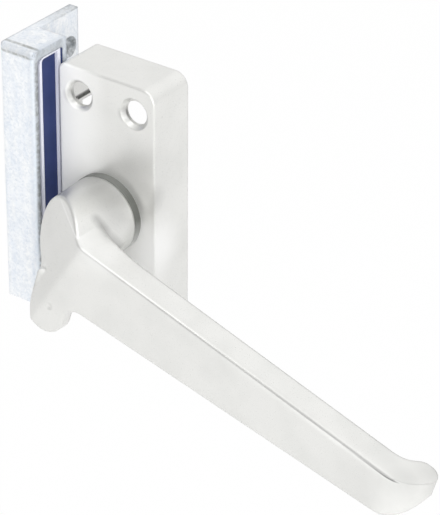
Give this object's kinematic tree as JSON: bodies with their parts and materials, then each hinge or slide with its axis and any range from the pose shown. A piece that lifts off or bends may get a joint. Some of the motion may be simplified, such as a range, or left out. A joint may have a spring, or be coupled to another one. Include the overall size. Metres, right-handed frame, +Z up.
{
  "type": "window cam lock",
  "caption": "Window cam lock: a surface housing with a swinging lever and cam nose, and the box keep it closes on.",
  "frame": {"origin": "centre of the housing's back face, which lies against the sash", "axes": "+Y out of the back face into the window, +Z up, +X along the face, away from the keep"},
  "size_m": [0.1432, 0.0463, 0.0845],
  "materials": {
    "satin_silver": "satin silver coating on a die casting",
    "dark_plastic": "moulded, satin",
    "spring_steel": "hardened, oiled",
    "plated_steel": "bright zinc plating",
    "galvanised_steel": "galvanised, softly mottled",
    "navy_plastic": "smooth, half gloss",
    "bright_trim": "bright anodised"
  },
  "bodies": {
    "lock_base": {"housing": "satin_silver", "pivot_bush": "dark_plastic", "stop_pin": "plated_steel", "keep": "galvanised_steel", "keep_insert": "navy_plastic", "keep_trim": "bright_trim"},
    "lever": {"lever": "satin_silver", "spring_washer": "spring_steel", "stop_plate": "plated_steel", "retaining_washer": "plated_steel", "retaining_screw": "plated_steel"}
  },
  "joints": [
    {"name": "lever_turn", "type": "hinge", "parent": "lock_base", "child": "lever", "pos_m": [0, -0.0144, -0.0019], "axis": [0, 1, 0], "range_deg": [-16.3, 73.7]}
  ]
}
